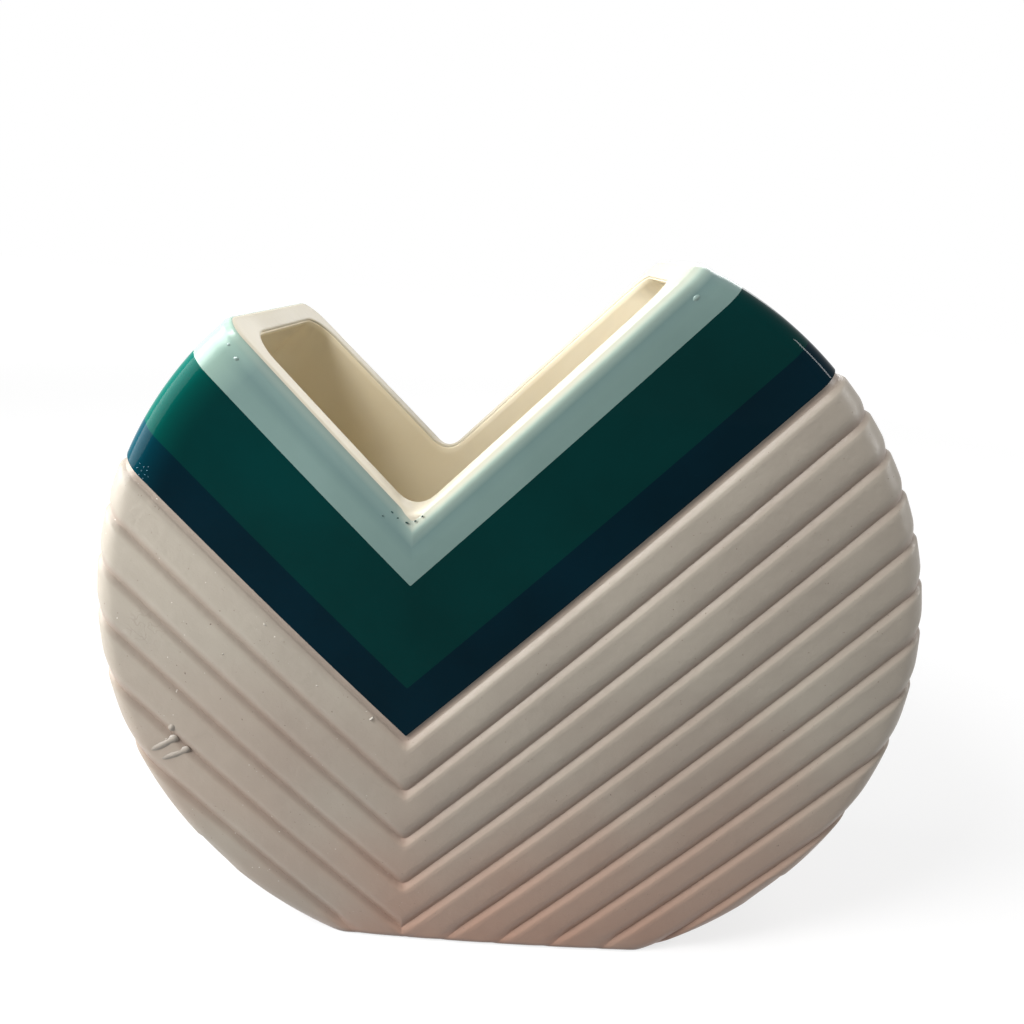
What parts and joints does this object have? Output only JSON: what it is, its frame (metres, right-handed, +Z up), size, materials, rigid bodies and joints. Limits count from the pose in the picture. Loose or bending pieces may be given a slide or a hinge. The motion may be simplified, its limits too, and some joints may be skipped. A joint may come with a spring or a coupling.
{
  "type": "disc vase",
  "caption": "Round hollow disc vase with an off-centre V mouth, chevron ribs, V glaze bands and a flat foot.",
  "frame": {"origin": "middle of the flat foot, straight below the middle of the disc", "axes": "+Z up, +Y through the disc from its front face to its back face, +X to the right seen from the front"},
  "size_m": [0.21, 0.073, 0.1907],
  "materials": {
    "satin_cream": "satin",
    "mint_glaze": "gloss",
    "teal_glaze": "gloss",
    "navy_glaze": "gloss",
    "clear_glaze": "gloss"
  },
  "bodies": {
    "root": {"vase_body": "satin_cream", "mint_glaze_band": "mint_glaze", "teal_glaze_band": "teal_glaze", "navy_glaze_band": "navy_glaze", "inner_glaze": "clear_glaze"}
  },
  "joints": []
}
